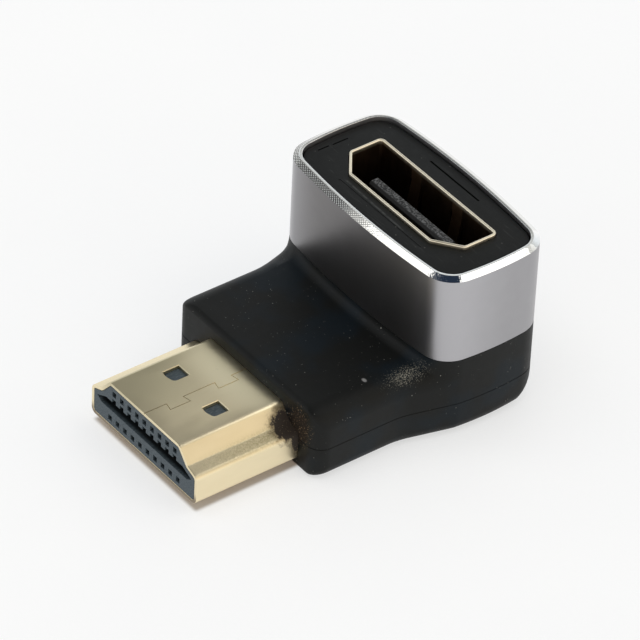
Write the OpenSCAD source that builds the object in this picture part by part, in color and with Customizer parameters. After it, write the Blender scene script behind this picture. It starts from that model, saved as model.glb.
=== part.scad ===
// Right angle video adapter: a flat 19-contact plug lies at the front, and the matching
// socket stands up at the back inside a metal sleeve. A soft moulded elbow joins them.
// The origin is on the resting plane, straight below the socket's axis.
// The plug points along -Y, the socket opens along +Z and X runs across the contacts.

/* [Plug] */
// Width of the plug's wide side
plug_w = 13.9; // [13:0.1:14.5]
// Height of the plug
plug_h = 4.45; // [4.3:0.05:4.8]
// Height of the plug's upright sides
plug_side_h = 2.7; // [2.4:0.1:2.9]
// Width across the feet of the plug's steep slopes
plug_shoulder_w = 11.5; // [11:0.1:12.5]
// Height of the feet of the steep slopes
plug_shoulder_h = 3.15; // [3.05:0.05:3.4]
// Width of the plug's narrow top
plug_top_w = 9.25; // [9:0.05:10]
// Length of the plug outside the body
plug_reach = 9.7; // [8:0.1:12]
// Length of the plug's shell held in the body
plug_root = 3; // [2.6:0.1:3.6]
// Thickness of the plug's folded sheet
plug_sheet = 0.3; // [0.2:0.05:0.35]
// Height of the plug's underside above the resting plane
plug_lift = 0.75; // [0.6:0.05:1.2]
// Width of the folded sheet's seam
seam_gap = 0.07; // [0.04:0.01:0.12]
// Reach of the seam's dovetail tabs
seam_tab = 0.75; // [0.5:0.05:1]
// Length of each dovetail tab
seam_tab_l = 1.6; // [1:0.1:2]
// Distance of the first tab from the plug's tip
seam_tab_start = 2.1; // [1.5:0.1:3]
// Distance from one tab to the next
seam_tab_pitch = 4.6; // [3:0.1:5]

/* [Latch] */
// Distance of the latch windows and springs from the middle
latch_x = 2.6; // [2.2:0.1:3]
// Width of a latch window
window_w = 1.4; // [1:0.1:1.8]
// Length of a latch window
window_l = 1.5; // [1:0.1:2]
// Distance of the windows from the plug's tip
window_start = 4.15; // [3.8:0.05:4.8]
// Width of a latch spring in the socket
spring_w = 1.2; // [0.8:0.1:1.4]
// Length of a latch spring
spring_l = 4; // [3:0.1:5]
// Depth of a latch spring's root below the mouth
spring_start = 1.25; // [1:0.05:2]
// Inward throw of a latch spring
spring_throw = 0.4; // [0.2:0.05:0.6]
// Width of the cut along each side of a spring
spring_slot = 0.2; // [0.15:0.05:0.3]

/* [Socket] */
// Outer width of the socket's wide side
socket_w = 14.9; // [14.6:0.1:15.2]
// Outer height of the socket, across X
socket_h = 5.05; // [4.95:0.05:5.4]
// Outer width of the socket's narrow side
socket_narrow_w = 10.25; // [10:0.05:11]
// Length of the socket's straight ends
socket_end_h = 3.25; // [3:0.05:3.5]
// Thickness of the socket's folded sheet
socket_sheet = 0.25; // [0.2:0.05:0.3]
// Depth of the socket from its mouth to its floor
socket_depth = 8.9; // [8:0.1:9.4]
// Distance of the mouth below the sleeve's rim
mouth_drop = 0.05; // [0:0.05:0.3]
// Width of the socket's tongue
tongue_w = 9.8; // [9.6:0.1:10.2]
// Thickness of the tongue
tongue_t = 1; // [0.8:0.05:1.1]
// Distance of the tongue's tip below the mouth
tongue_drop = 1.5; // [1:0.1:2.5]
// Distance of the tongue's middle in front of the socket's axis
tongue_forward = 0.1; // [0:0.05:0.2]
// Width of a solder leg of the socket's shell
leg_w = 0.8; // [0.5:0.1:0.9]
// Distance between the two legs of one end
leg_pitch = 1.6; // [1.4:0.1:2]

/* [Sleeve] */
// Width of the sleeve
sleeve_w = 21.55; // [21:0.05:23]
// Depth of the sleeve, front to back
sleeve_d = 11.45; // [11:0.05:12.5]
// Height of the sleeve
sleeve_h = 8.1; // [7:0.1:9]
// Wall of the sleeve
sleeve_wall = 0.72; // [0.6:0.02:0.9]
// Bow of the sleeve's long sides
side_bow = 0.73; // [0.4:0.01:1]
// Bow of the sleeve's ends
end_bow = 0.58; // [0.3:0.01:0.8]
// Radius of the sleeve's corners
corner_r = 2.6; // [2:0.1:3]
// Distance of the sleeve's middle behind the socket's axis
sleeve_back = 0.15; // [0:0.05:0.3]
// Inward reach of the bright cut along the rim
bevel_in = 0.5; // [0.2:0.05:0.6]
// Height of the bright cut
bevel_down = 0.3; // [0.2:0.05:0.6]

/* [Insert] */
// Distance of the insert's face below the rim
insert_drop = 0.35; // [0.2:0.05:0.6]
// Length of the slot in the insert's face
slot_l = 6.2; // [4:0.1:8]
// Width of the slot and of the scored line
slot_w = 0.16; // [0.1:0.02:0.3]
// Depth of the slot
slot_depth = 0.4; // [0.2:0.05:0.8]
// Distance of the slot behind the socket's axis
slot_back = 4; // [3.4:0.05:4.3]
// Distance of the scored line in front of the socket's axis
line_front = 3.4; // [3:0.05:3.8]
// Length of the scored line
line_l = 10.4; // [8:0.1:12]
// Depth of the scored line
line_depth = 0.08; // [0.04:0.02:0.2]

/* [Body] */
// How far each side of the body flares out between the plug and the sleeve
flare_out = 1.425; // [0.8:0.025:1.8]
// Distance from the socket's axis to the body's front face
body_reach = 15.9; // [14:0.1:18]
// Height of the body round the plug
body_h = 6.5; // [6.3:0.05:7]
// Height of the body's seat for the sleeve
seat_h = 7.35; // [7.2:0.05:8]
// Radius of the body's upright front edges
front_r = 1.4; // [1:0.1:2]
// Angle at which the sides flare out to the sleeve
flare = 15; // [12:0.5:17]
// Radius in the bend where the flare starts
flare_r = 8; // [4:0.5:10]
// Rounding of the front face's top and bottom edges
front_edge = 0.5; // [0.3:0.05:1]
// Rounding of the top edges along the sides
top_edge = 1.8; // [1:0.1:2]
// Rounding of the bottom edges along the sides
foot_edge = 1.15; // [0.8:0.1:1.35]
// Inward reach of the rounding under the back
back_edge_in = 2.3; // [1.2:0.1:2.4]
// Height of the rounding under the back
back_edge_up = 2.75; // [1.5:0.05:2.8]
// Reach of the hollow fillet in front of the sleeve
fillet = 0.8; // [0.6:0.1:2]
// Depth of the parting line
parting = 0.05; // [0.02:0.01:0.1]
// Height of the neck inside the sleeve
neck_h = 1.6; // [1:0.1:2.5]

/* [Contacts] */
// Spacing of neighbouring contacts in one row
pitch = 1; // [0.96:0.01:1.02]
// Width of a contact
contact_w = 0.4; // [0.3:0.02:0.44]
// Thickness of a contact
contact_t = 0.2; // [0.15:0.01:0.24]
// Distance of a plug contact's nose from the plug's tip
contact_start = 1.3; // [1.1:0.1:1.8]
// Distance of a plug contact's bump from the plug's tip
bump_start = 2.4; // [2.2:0.1:3]
// Length of the bump
bump_l = 0.5; // [0.3:0.1:1]
// Distance from the plug's tip at which a plug contact runs level
beam_start = 6; // [5:0.1:7]
// Length of a plug contact's tail on the board
tail_l = 1.4; // [0.8:0.1:2]
// Distance of a socket contact's tip below the tongue's
contact_drop = 0.5; // [0.3:0.05:0.8]
// Length of a socket contact's foot on the board
foot_l = 2.9; // [1.5:0.1:2.9]
// Half the height of the plug's cavity between its ribs
cavity_half = 0.45; // [0.4:0.01:0.5]
// Depth of the plug's cavity
cavity_l = 8.5; // [8:0.1:9]
// Length of the plug's insulator
insulator_l = 11.3; // [10.5:0.1:11.6]
// Height of the plug's contacts above its middle plane
row_h = 1.1; // [1.05:0.01:1.15]

/* [Board] */
// Thickness of the circuit board
board_t = 1; // [0.8:0.1:1.2]
// Margin of the circuit board beside the socket
board_margin = 0.85; // [0.6:0.05:0.9]
// Distance of the board's shoulders in front of the socket
board_shoulder = 1.6; // [1.2:0.1:2]
// Distance from the socket's axis to the board's back edge
board_back = 4.6; // [4:0.1:4.8]
// Distance between the plug's insulator and the board
board_gap = 0.3; // [0.2:0.05:0.5]

/* [Clearances] */
// Clearance round a piece held in the moulding
mould_gap = 0.05; // [0.02:0.01:0.1]
// Clearance between a contact and its channel
contact_gap = 0.04; // [0.02:0.01:0.06]
// Clearance between an insulator and its shell
shell_gap = 0.03; // [0.02:0.01:0.06]
// Clearance between the sleeve and what it covers
sleeve_gap = 0.1; // [0.05:0.01:0.2]

/* [Hidden] */
contacts = 19;
bend_r = 0.25;
bend_steps = 5;
bite = 0.01;

body_w = sleeve_w - 2 * flare_out;
front_y = -body_reach;
tip_y = front_y - plug_reach;
plug_mid = plug_lift + plug_h / 2;
shell_rear_y = front_y + plug_root;
insulator_rear_y = tip_y + insulator_l;

board_front_y = insulator_rear_y + board_gap;
board_top = plug_mid + board_t / 2;
board_bottom = plug_mid - board_t / 2;
board_w = socket_w + 2 * board_margin;
board_front_w = plug_w - 0.5;
board_neck_w = plug_shoulder_w - 0.2;
board_shoulder_y = -socket_h / 2 - board_shoulder;
flat_r = 0.5;
solder_room = 0.75;
pad_room = 0.45;
hole_d = leg_w + 0.3;

rim_z = seat_h + sleeve_h;
mouth_z = rim_z - mouth_drop;
floor_z = mouth_z - socket_depth;
shell_foot_z = board_top + contact_t + 0.1;
base_z = shell_foot_z + 0.05;
tongue_z = mouth_z - tongue_drop;
tongue_tip = 0.18;
leg_x = socket_w / 2 - socket_sheet / 2;
leg_y = socket_h / 2 - socket_end_h / 2;
leg_end_z = board_bottom - 0.6;
peg_x = socket_w / 2 - 1.85;
peg_d = 1;
peg_collar_d = 1.6;
peg_gap = 0.05;
peg_end_z = board_bottom + 0.2;

sleeve_middle = [0, sleeve_back];
side_r = (pow(sleeve_w / 2, 2) + pow(side_bow, 2)) / (2 * side_bow);
end_r = (pow(sleeve_d / 2, 2) + pow(end_bow, 2)) / (2 * end_bow);
side_c = [0, sleeve_d / 2 - side_r];
end_c = [sleeve_w / 2 - end_r, 0];
corner_c = meeting(side_c, side_r - corner_r, end_c, end_r - corner_r);
end_angle = bearing(end_c, corner_c);
side_angle = bearing(side_c, corner_c);

groove_w = contact_w + 2 * contact_gap;
groove_half = cavity_half + 0.35;
row_top = row_h + contact_t / 2 + contact_gap;
front_wall = 0.9;
face_bar = 0.25;
face_window = 0.5;

// Plane geometry

function unit(v) = v / norm(v);

function bearing(from, to) = atan2(to.y - from.y, to.x - from.x);

function smooth(t) = let (s = max(0, min(1, t))) s * s * (3 - 2 * s);

function mix(a, b, t) = a + (b - a) * t;

function rest(list) = [for (i = [1:len(list) - 1]) list[i]];

// Where two circles meet, on the right-hand side of the line between their centres
function meeting(c1, r1, c2, r2) =
    let (
        d = norm(c2 - c1),
        u = (c2 - c1) / d,
        along = (r1 * r1 - r2 * r2 + d * d) / (2 * d),
        across = sqrt(r1 * r1 - along * along)
    )
    c1 + along * u + across * [u.y, -u.x];

function arc(c, r, from, to, n) = [
    for (i = [0:n])
        let (a = mix(from, to, i / n))
        c + r * [cos(a), sin(a)]
];

// An outline's right half, from front to back, closed by its mirror image
function closed(half) = concat(half, [for (i = [len(half) - 2:-1:1]) [-half[i].x, half[i].y]]);

// A counter-clockwise outline with each side moved outward by d
function grown(outline, d) = [
    for (i = [0:len(outline) - 1])
        let (
            n = len(outline),
            before = unit(outline[i] - outline[(i + n - 1) % n]),
            after = unit(outline[(i + 1) % n] - outline[i]),
            a = [before.y, -before.x],
            b = [after.y, -after.x]
        )
        outline[i] + d * (a + b) / (1 + a * b)
];

// A counter-clockwise outline with its corners rounded
function rounded(outline, convex_r, concave_r) = [
    for (i = [0:len(outline) - 1])
        let (
            n = len(outline),
            p = outline[i],
            a = unit(outline[(i + n - 1) % n] - p),
            b = unit(outline[(i + 1) % n] - p),
            half = acos(a * b) / 2,
            r = a.x * b.y - a.y * b.x < 0 ? convex_r : concave_r,
            c = p + unit(a + b) * r / sin(half),
            start = a * r / tan(half) + p - c,
            end = b * r / tan(half) + p - c
        )
        for (k = [0:bend_steps])
            c + r * unit(mix(start, end, k / bend_steps))
];

// A strip of sheet that follows a path, seen on its edge
function ribbon(path, t) =
    let (
        n = len(path) - 1,
        way = [for (i = [0:n - 1]) unit(path[i + 1] - path[i])],
        mitre = [
            for (i = [0:n])
                i == 0 ? way[0] : i == n ? way[n - 1] : (way[i - 1] + way[i]) / (1 + way[i - 1] * way[i])
        ],
        side = [for (m = mitre) t / 2 * [-m.y, m.x]]
    )
    concat([for (i = [0:n]) path[i] - side[i]], [for (i = [n:-1:0]) path[i] + side[i]]);

function contact_x(i) = (i - (contacts + 1) / 2) * pitch / 2;

// Contacts with odd numbers lie along the wide side
function wide_row(i) = i % 2 == 1;

// Outlines

// Outer outline of the plug's shell, seen from the front, with z from its underside
function plug_outline() = [
    [-plug_w / 2, 0],
    [plug_w / 2, 0],
    [plug_w / 2, plug_side_h],
    [plug_shoulder_w / 2, plug_shoulder_h],
    [plug_top_w / 2, plug_h],
    [-plug_top_w / 2, plug_h],
    [-plug_shoulder_w / 2, plug_shoulder_h],
    [-plug_w / 2, plug_side_h]
];

// The outline above with its surface moved outward by d and its folds rounded
function plug_folds(d) = rounded(grown(plug_outline(), d), bend_r + plug_sheet + d, bend_r - d);

// Outer outline of the socket's shell, seen from above
function socket_outline() = [
    [-socket_narrow_w / 2, -socket_h / 2],
    [socket_narrow_w / 2, -socket_h / 2],
    [socket_w / 2, socket_h / 2 - socket_end_h],
    [socket_w / 2, socket_h / 2],
    [-socket_w / 2, socket_h / 2],
    [-socket_w / 2, socket_h / 2 - socket_end_h]
];

function socket_folds(d) = rounded(grown(socket_outline(), d), bend_r + socket_sheet + d, bend_r);

// Right half of the sleeve's outline behind its middle, moved inward by inset
function sleeve_quarter(inset) = concat(
    arc(end_c, end_r - inset, 0, end_angle, 3),
    rest(arc(corner_c, corner_r - inset, end_angle, side_angle, 8)),
    rest(arc(side_c, side_r - inset, side_angle, 90, 6))
);

function sleeve_outline(inset) =
    let (
        back = sleeve_quarter(inset),
        front = [for (i = [len(back) - 1:-1:1]) [back[i].x, -back[i].y]]
    )
    [for (p = closed(concat(front, back))) p + sleeve_middle];

// Profiles in the X-Z plane run along Y, profiles in the Y-Z plane run across X

module along_y(from, to) {
    translate([0, to, 0])
        rotate([90, 0, 0])
            linear_extrude(to - from)
                children();
}

module across_x(middle, width) {
    translate([middle, 0, 0])
        rotate([90, 0, 90])
            linear_extrude(width, center = true)
                children();
}

module between_z(from, to) {
    translate([0, 0, from])
        linear_extrude(to - from)
            children();
}

// The moulded elbow

near_corner = [corner_c.x, -corner_c.y] + sleeve_middle;
far_corner = corner_c + sleeve_middle;
front_c = [0, -side_c.y] + sleeve_middle;
back_c = side_c + sleeve_middle;

// Where the flare runs into the sleeve's near corner, and where it bends away from the side
flare_way = [sin(flare), cos(flare)];
flare_end = near_corner + corner_r * [cos(flare), -sin(flare)];
bend_y = flare_end.y - (flare_end.x - body_w / 2) / tan(flare);
bend_start_y = bend_y - flare_r * tan(flare / 2);

// Bearings on the near corner that have the flare straight beside them
corner_bearings = [for (i = [1:7]) mix(side_angle, flare, i / 8)];

// A straight front from its middle outward, and the rounded corner at its end
function front_half(half_w, y, r) = concat(
    [for (i = [0:7]) [(half_w - r) * i / 8, y]],
    arc([half_w - r, y + r], r, -90, 0, 6)
);

// Right half of the body's outline in front of the sleeve: face, edge, side, bend and flare
body_front_half = concat(
    front_half(body_w / 2, front_y, front_r),
    [for (i = [1:3]) [body_w / 2, mix(front_y + front_r, bend_start_y, i / 4)]],
    arc([body_w / 2 + flare_r, bend_start_y], flare_r, 180, 180 - flare, 4),
    [for (a = corner_bearings) flare_end - corner_r * sin(a - flare) * flare_way]
);

// As many points along the part of the sleeve that stands behind them
sleeve_front_half = concat(
    arc(front_c, side_r, -90, -side_angle, len(body_front_half) - len(corner_bearings) - 1),
    [for (a = corner_bearings) near_corner + corner_r * [cos(a), -sin(a)]]
);

// The ends and the back, where the body is flush with the sleeve
shared_half = concat(
    arc(near_corner, corner_r, -flare, -end_angle, 2),
    rest(arc(end_c + sleeve_middle, end_r, -end_angle, end_angle, 6)),
    rest(arc(far_corner, corner_r, end_angle, side_angle, 10)),
    rest(arc(back_c, side_r, side_angle, 90, 6))
);

body_ring = closed(concat(body_front_half, shared_half));
seat_ring = closed(concat(sleeve_front_half, shared_half));
ring_n = len(body_ring);
ring_out = [
    for (i = [0:ring_n - 1])
        let (t = unit(body_ring[(i + 1) % ring_n] - body_ring[(i + ring_n - 1) % ring_n]))
        [t.y, -t.x]
];

// A rounding's size where the outline faces n, from its sizes at the front, the sides and the back
function toward(n, front, side, back) = n.y < 0 ? mix(side, front, n.y * n.y) : mix(side, back, n.y);

// The body's outline moved inward by one reach across X and another along Y, at the height z
function body_point(i, across, along, z) =
    [body_ring[i].x - ring_out[i].x * across, body_ring[i].y - ring_out[i].y * along, z];

function foot_ring(a) = [
    for (i = [0:ring_n - 1])
        let (
            n = ring_out[i],
            along = n.y < 0 ? front_edge : back_edge_in,
            rise = toward(n, front_edge, foot_edge, back_edge_up)
        )
        body_point(i, foot_edge * (1 - sin(a)), along * (1 - sin(a)), rise * (1 - cos(a)))
];

function side_ring(inset, z) = [for (i = [0:ring_n - 1]) body_point(i, inset, inset, z)];

// Share of the full top edge and fillet that the room in front of the sleeve allows, 0 where it is flush
room = [for (i = [0:ring_n - 1]) min(1, norm(body_ring[i] - seat_ring[i]) / (top_edge + fillet))];

// Height of a straight wall at the same share t of the way up
function wall_z(t) = mix(body_h - top_edge, seat_h, t);

// Outline of the flat top, inside the rounding along the front and the sides
flat_front_half = front_half(body_w / 2 - top_edge, front_y + front_edge, flat_r);
flat_ring = closed([
    for (i = [0:ring_n / 2])
        i < len(flat_front_half)
            ? flat_front_half[i]
            : body_ring[i] - [ring_out[i].x * top_edge, ring_out[i].y * front_edge] * room[i]
]);

function shoulder_point(i, a, t) =
    let (
        p = mix(body_ring[i], flat_ring[i], 1 - cos(a)),
        rise = toward(ring_out[i], front_edge, top_edge, top_edge),
        z = body_h - rise * (1 - sin(a))
    )
    [p.x, p.y, mix(wall_z(t), z, room[i])];

// The hollow fillet that rises from the body's flat top to the sleeve's foot
function fillet_point(i, a, t) =
    let (
        seat = seat_ring[i],
        reach = room[i] > 0 ? unit(flat_ring[i] - seat) * fillet * room[i] : [0, 0],
        p = seat + reach * (1 - sin(a)),
        z = mix(body_h, seat_h, 1 - cos(a))
    )
    [p.x, p.y, mix(wall_z(t), z, room[i])];

shoulder_steps = 5;
fillet_steps = 6;
top_steps = shoulder_steps + fillet_steps + 1;

body_rings = concat(
    [for (a = [0:15:90]) foot_ring(a)],
    [for (k = [-1:1]) side_ring(k == 0 ? parting : 0, plug_mid + k * 2 * parting)],
    [
        for (k = [0:shoulder_steps])
            [for (i = [0:ring_n - 1]) shoulder_point(i, 90 * k / shoulder_steps, k / top_steps)]
    ],
    [
        for (k = [0:fillet_steps])
            [
                for (i = [0:ring_n - 1])
                    fillet_point(i, 90 * k / fillet_steps, (k + shoulder_steps + 1) / top_steps)
            ]
    ]
);

// A closed skin over rings of points; its two caps fan out from the middle of the back
module loft(rings) {
    n = len(rings[0]);
    last = len(rings) - 1;
    back = n / 2;
    polyhedron(
        points = [for (ring = rings) each ring],
        faces = concat(
            [[for (i = [0:n - 1]) (i + back) % n]],
            [
                for (k = [0:last - 1], i = [0:n - 1])
                    let (j = (i + 1) % n, a = k * n, b = a + n)
                    each [[a + i, b + i, b + j], [a + i, b + j, a + j]]
            ],
            [[for (i = [n:-1:1]) last * n + (i + back) % n]]
        )
    );
}

module body_overmould() {
    color("#1d1f21")
        difference() {
            union() {
                loft(body_rings);
                between_z(seat_h - bite, seat_h + neck_h)
                    polygon(sleeve_outline(sleeve_wall + sleeve_gap));
            }
            along_y(front_y - 1, shell_rear_y + mould_gap)
                translate([0, plug_lift])
                    polygon(plug_folds(mould_gap));
            between_z(board_bottom - solder_room, board_top + pad_room)
                polygon(board_outline(mould_gap));
            between_z(board_top, seat_h + neck_h + 1)
                polygon(socket_folds(mould_gap));
        }
}

// The sleeve and the insert round the socket

module socket_sleeve() {
    outer = sleeve_outline(0);
    color("#8a8580")
        difference() {
            union() {
                between_z(seat_h, rim_z - bevel_down)
                    polygon(outer);
                loft([
                    [for (p = outer) [p.x, p.y, rim_z - bevel_down]],
                    [for (p = sleeve_outline(bevel_in)) [p.x, p.y, rim_z]]
                ]);
            }
            between_z(seat_h - 1, rim_z + 1)
                polygon(sleeve_outline(sleeve_wall));
        }
}

module face_cut(length, y, depth) {
    translate([-length / 2, y - slot_w / 2, rim_z - insert_drop - depth])
        cube([length, slot_w, depth + 1]);
}

module socket_insert() {
    color("#161719")
        difference() {
            between_z(seat_h + neck_h, rim_z - insert_drop)
                polygon(sleeve_outline(sleeve_wall + sleeve_gap));
            between_z(seat_h, rim_z)
                polygon(socket_folds(mould_gap));
            face_cut(slot_l, slot_back, slot_depth);
            face_cut(line_l, -line_front, line_depth);
        }
}

// The socket

// Side view of one latch spring: its root at the wall, its inward bend and its free end
function spring_path() =
    let (
        root = 0.3,
        bend_from = 0.6 * spring_l,
        bend_to = 0.7 * spring_l
    )
    [
        [0, 0],
        [0, -root],
        [-spring_throw, -bend_from],
        [-spring_throw, -bend_to],
        [0, spring_slot - spring_l]
    ];

module each_spring() {
    for (x = [-latch_x, latch_x], side = [-1, 1])
        translate([x, side * (socket_h - socket_sheet) / 2, mouth_z - spring_start])
            scale([1, side, 1])
                children();
}

module socket_shell() {
    color("#d9c794") {
        difference() {
            between_z(shell_foot_z, mouth_z)
                polygon(socket_folds(0));
            between_z(shell_foot_z - 1, mouth_z + 1)
                polygon(socket_folds(-socket_sheet));
            each_spring()
                translate([-spring_w / 2 - spring_slot, -1, -spring_l])
                    cube([spring_w + 2 * spring_slot, 2, spring_l - bite]);
        }
        each_spring()
            across_x(0, spring_w)
                polygon(ribbon(spring_path(), socket_sheet));
        for (x = [-leg_x, leg_x], k = [-1, 1])
            translate([x - socket_sheet / 2, leg_y + k * leg_pitch / 2 - leg_w / 2, leg_end_z])
                cube([socket_sheet, leg_w, shell_foot_z - leg_end_z + bite]);
    }
}

tongue_y = -tongue_forward;

// Path of a socket contact in the Y-Z plane, from its tip beside the tongue to its foot
function socket_contact_path(side) =
    let (
        y = tongue_y + side * (tongue_t - contact_t) / 2,
        foot = board_top + contact_t / 2,
        bend = 0.25
    )
    [
        [y, tongue_z - contact_drop],
        [y, foot + bend],
        [y + side * bend, foot],
        [y + side * foot_l, foot]
    ];

module socket_contact(i) {
    side = wide_row(i) ? 1 : -1;
    color("#d8b65a")
        across_x(contact_x(i), contact_w)
            polygon(ribbon(socket_contact_path(side), contact_t));
}

// The tongue, pressed through a slot in the floor; the contacts lie in grooves down both its faces
module socket_tongue() {
    color("#3a3c3e")
        difference() {
            across_x(0, tongue_w)
                polygon([
                    [tongue_y - tongue_t / 2, base_z],
                    [tongue_y + tongue_t / 2, base_z],
                    [tongue_y + tongue_t / 2, tongue_z - tongue_tip],
                    [tongue_y + tongue_t / 2 - tongue_tip, tongue_z],
                    [tongue_y - tongue_t / 2 + tongue_tip, tongue_z],
                    [tongue_y - tongue_t / 2, tongue_z - tongue_tip]
                ]);
            for (i = [1:contacts]) {
                depth = contact_t + contact_gap;
                translate([contact_x(i) - groove_w / 2, tongue_y, base_z - 1])
                    scale([1, wide_row(i) ? 1 : -1, 1])
                        translate([0, tongue_t / 2 - depth, 0])
                            cube([groove_w, depth + 1, tongue_z - contact_drop + contact_gap - base_z + 1]);
            }
        }
}

module socket_insulator() {
    slot = [tongue_w + 2 * mould_gap, tongue_t + 2 * mould_gap];
    color("#2a2c2e")
        difference() {
            union() {
                between_z(base_z, floor_z)
                    polygon(socket_folds(-socket_sheet - shell_gap));
                for (x = [-peg_x, peg_x]) {
                    translate([x, 0, board_top])
                        cylinder(d = peg_collar_d, h = base_z - board_top + bite, $fn = 48);
                    translate([x, 0, peg_end_z])
                        cylinder(d = peg_d, h = base_z - peg_end_z, $fn = 48);
                }
            }
            translate([-slot.x / 2, tongue_y - slot.y / 2, base_z])
                cube([slot.x, slot.y, socket_depth]);
            for (i = [1:contacts])
                translate([contact_x(i) - groove_w / 2, tongue_y, board_top - bite])
                    scale([1, wide_row(i) ? 1 : -1, 1])
                        cube([groove_w, foot_l, contact_t + contact_gap]);
        }
}

// The circuit board

function board_outline(d) =
    let (
        neck_y = shell_rear_y + board_gap,
        right = [
            [board_neck_w / 2, board_front_y],
            [board_neck_w / 2, neck_y],
            [board_front_w / 2, neck_y],
            [board_front_w / 2, board_shoulder_y],
            [board_w / 2, board_shoulder_y],
            [board_w / 2, board_back]
        ],
        left = [for (i = [len(right) - 1:-1:0]) [-right[i].x, right[i].y]]
    )
    grown(concat(right, left), d);

module circuit_board() {
    color("#1f5b3a")
        difference() {
            between_z(board_bottom, board_top)
                polygon(board_outline(0));
            for (x = [-leg_x, leg_x], k = [-1, 1])
                translate([x, leg_y + k * leg_pitch / 2, board_bottom - 1])
                    cylinder(d = hole_d, h = board_t + 2, $fn = 48);
            for (x = [-peg_x, peg_x])
                translate([x, 0, board_bottom - 1])
                    cylinder(d = peg_d + 2 * peg_gap, h = board_t + 2, $fn = 48);
        }
}

// The plug

// The seam's path along the plug's top, with two dovetail tabs
function seam_path() =
    let (lean = 0.15)
    concat(
        [[0, tip_y - 1]],
        [
            for (k = [0:1])
                let (y = tip_y + seam_tab_start + k * seam_tab_pitch)
                each [
                    [0, y],
                    [seam_tab, y - lean],
                    [seam_tab, y + seam_tab_l + lean],
                    [0, y + seam_tab_l]
                ]
        ],
        [[0, shell_rear_y + 1]]
    );

module plug_shell() {
    color("#c9ad6a")
        difference() {
            along_y(tip_y, shell_rear_y)
                translate([0, plug_lift])
                    polygon(plug_folds(0));
            along_y(tip_y - 1, shell_rear_y + 1)
                translate([0, plug_lift])
                    polygon(plug_folds(-plug_sheet));
            for (x = [-latch_x, latch_x])
                translate([x - window_w / 2, tip_y + window_start, plug_lift - 1])
                    cube([window_w, window_l, plug_h + 2]);
            between_z(plug_mid, plug_lift + plug_h + 1)
                polygon(ribbon(seam_path(), seam_gap));
        }
}

// Path of a plug contact in the Y-Z plane: nose, bump, beam, and tail on the board
function plug_contact_path(side) =
    let (
        tail = (board_t + contact_t) / 2,
        nose_dip = 0.15,
        slope_l = 0.2,
        tail_y = insulator_l + board_gap
    )
    [
        for (p = [
                [contact_start, row_h - nose_dip],
                [bump_start, cavity_half],
                [bump_start + bump_l, cavity_half],
                [beam_start, row_h],
                [tail_y - slope_l, row_h],
                [tail_y + slope_l, tail],
                [tail_y + slope_l + tail_l, tail]
            ])
            [tip_y + p[0], plug_mid + side * p[1]]
    ];

module plug_contact(i) {
    side = wide_row(i) ? -1 : 1;
    color("#d8b65a")
        across_x(contact_x(i), contact_w)
            polygon(ribbon(plug_contact_path(side), contact_t));
}

// One contact's room in the plug's insulator, above (1) or below (-1) the middle plane: a groove
// along the cavity, room for the spring, a snug channel behind, and a blind window in the face
module contact_room(side) {
    groove_from = side > 0 ? 0 : front_wall;
    scale([1, 1, side])
        translate([-groove_w / 2, 0, 0]) {
            translate([0, groove_from, 0])
                cube([groove_w, cavity_l - groove_from, groove_half]);
            translate([0, front_wall, 0])
                cube([groove_w, cavity_l - front_wall, row_top]);
            translate([0, cavity_l - bite, row_h - contact_t / 2 - contact_gap])
                cube([groove_w, insulator_l, contact_t + 2 * contact_gap]);
            translate([0, -1, groove_half + face_bar])
                cube([groove_w, front_wall + 1 + bite, face_window]);
        }
}

module plug_insulator() {
    half = plug_shoulder_w / 2 + 0.5;
    floor_half = half - 0.6;
    roof_half = half - 1.2;
    point_z = -0.1;
    color("#39434d")
        difference() {
            along_y(tip_y + shell_gap, insulator_rear_y)
                translate([0, plug_lift])
                    polygon(plug_folds(-plug_sheet - shell_gap));
            along_y(tip_y - 1, tip_y + cavity_l)
                translate([0, plug_mid])
                    polygon([
                        [-floor_half, -cavity_half],
                        [floor_half, -cavity_half],
                        [half, point_z],
                        [roof_half, cavity_half],
                        [-roof_half, cavity_half],
                        [-half, point_z]
                    ]);
            for (i = [1:contacts])
                translate([contact_x(i), tip_y, plug_mid])
                    contact_room(wide_row(i) ? -1 : 1);
        }
}

body_overmould();
socket_sleeve();
socket_insert();
socket_shell();
socket_insulator();
socket_tongue();
circuit_board();
plug_shell();
plug_insulator();
for (i = [1:contacts]) {
    plug_contact(i);
    socket_contact(i);
}
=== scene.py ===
import math
from itertools import chain

import bmesh
import bpy
from mathutils import Matrix, Vector


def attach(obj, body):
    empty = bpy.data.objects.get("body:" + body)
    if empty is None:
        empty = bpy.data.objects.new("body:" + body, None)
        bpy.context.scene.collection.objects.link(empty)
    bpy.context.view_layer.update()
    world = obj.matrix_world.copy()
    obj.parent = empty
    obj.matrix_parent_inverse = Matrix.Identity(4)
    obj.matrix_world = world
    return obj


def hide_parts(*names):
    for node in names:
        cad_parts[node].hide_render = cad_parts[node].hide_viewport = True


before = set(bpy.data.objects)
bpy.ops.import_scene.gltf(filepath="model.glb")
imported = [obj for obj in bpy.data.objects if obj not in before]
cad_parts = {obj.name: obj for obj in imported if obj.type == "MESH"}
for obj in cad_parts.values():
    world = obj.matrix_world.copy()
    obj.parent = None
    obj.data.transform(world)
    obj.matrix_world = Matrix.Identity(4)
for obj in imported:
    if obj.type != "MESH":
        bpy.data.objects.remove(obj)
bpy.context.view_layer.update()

# The camera
# A long lens on the plug's right, 39 degrees above the table and turned by three degrees.
# Its place is in millimetres from the adapter's origin, and its film is 36 mm wide.
MM = 0.001
azimuth, elevation, roll = (math.radians(a) for a in (51.307, 38.696, 2.923))
lens_place = Vector((285.737, -237.630, 300.117)) * MM
backward = Vector((
    math.sin(azimuth) * math.cos(elevation),
    -math.cos(azimuth) * math.cos(elevation),
    math.sin(elevation),
))
level = Vector((math.cos(azimuth), math.sin(azimuth), 0))
steep = backward.cross(level)
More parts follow.
